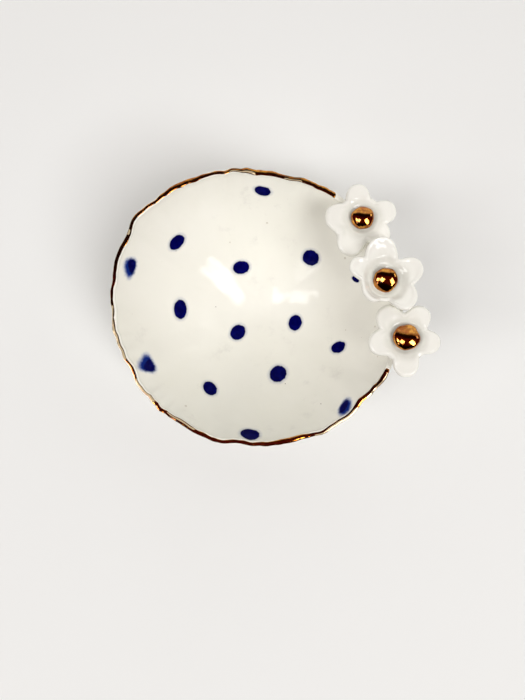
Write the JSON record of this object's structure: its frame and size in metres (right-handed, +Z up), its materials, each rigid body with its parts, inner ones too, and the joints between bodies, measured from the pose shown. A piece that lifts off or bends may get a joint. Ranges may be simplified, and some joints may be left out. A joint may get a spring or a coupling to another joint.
{
  "type": "ring dish",
  "caption": "Small hand-built porcelain ring dish with a wavy gold lip, brushed blue dots and a cluster of clay flowers with gold bead centres on the rim.",
  "frame": {"origin": "middle of the flat foot, in its plane", "axes": "+Z up out of the bowl; +X from the foot's middle towards the flowers' side; +Y away from a viewer who has the flowers at the right"},
  "size_m": [0.117, 0.1005, 0.0496],
  "materials": {
    "bowl_glaze": "clear gloss glaze over cream-white porcelain, slightly wavy, with tiny iron specks",
    "flower_glaze": "clear gloss glaze over white porcelain, pooling grey-blue in the dimple",
    "joining_slip": "glazed joining slip, smoothed by brush",
    "blue_underglaze": "navy underglaze brushed on and glazed over, edges bleeding softly",
    "gold_lustre": "fired gold lustre, mirror bright with fine brush marks"
  },
  "bodies": {
    "root": {"bowl": "bowl_glaze", "blue_dots": "blue_underglaze", "gold_rim": "gold_lustre", "seat_back": "joining_slip", "seat_middle": "joining_slip", "seat_front": "joining_slip", "flower_back": "flower_glaze", "flower_middle": "flower_glaze", "flower_front": "flower_glaze", "bead_back": "gold_lustre", "bead_middle": "gold_lustre", "bead_front": "gold_lustre"}
  },
  "joints": []
}
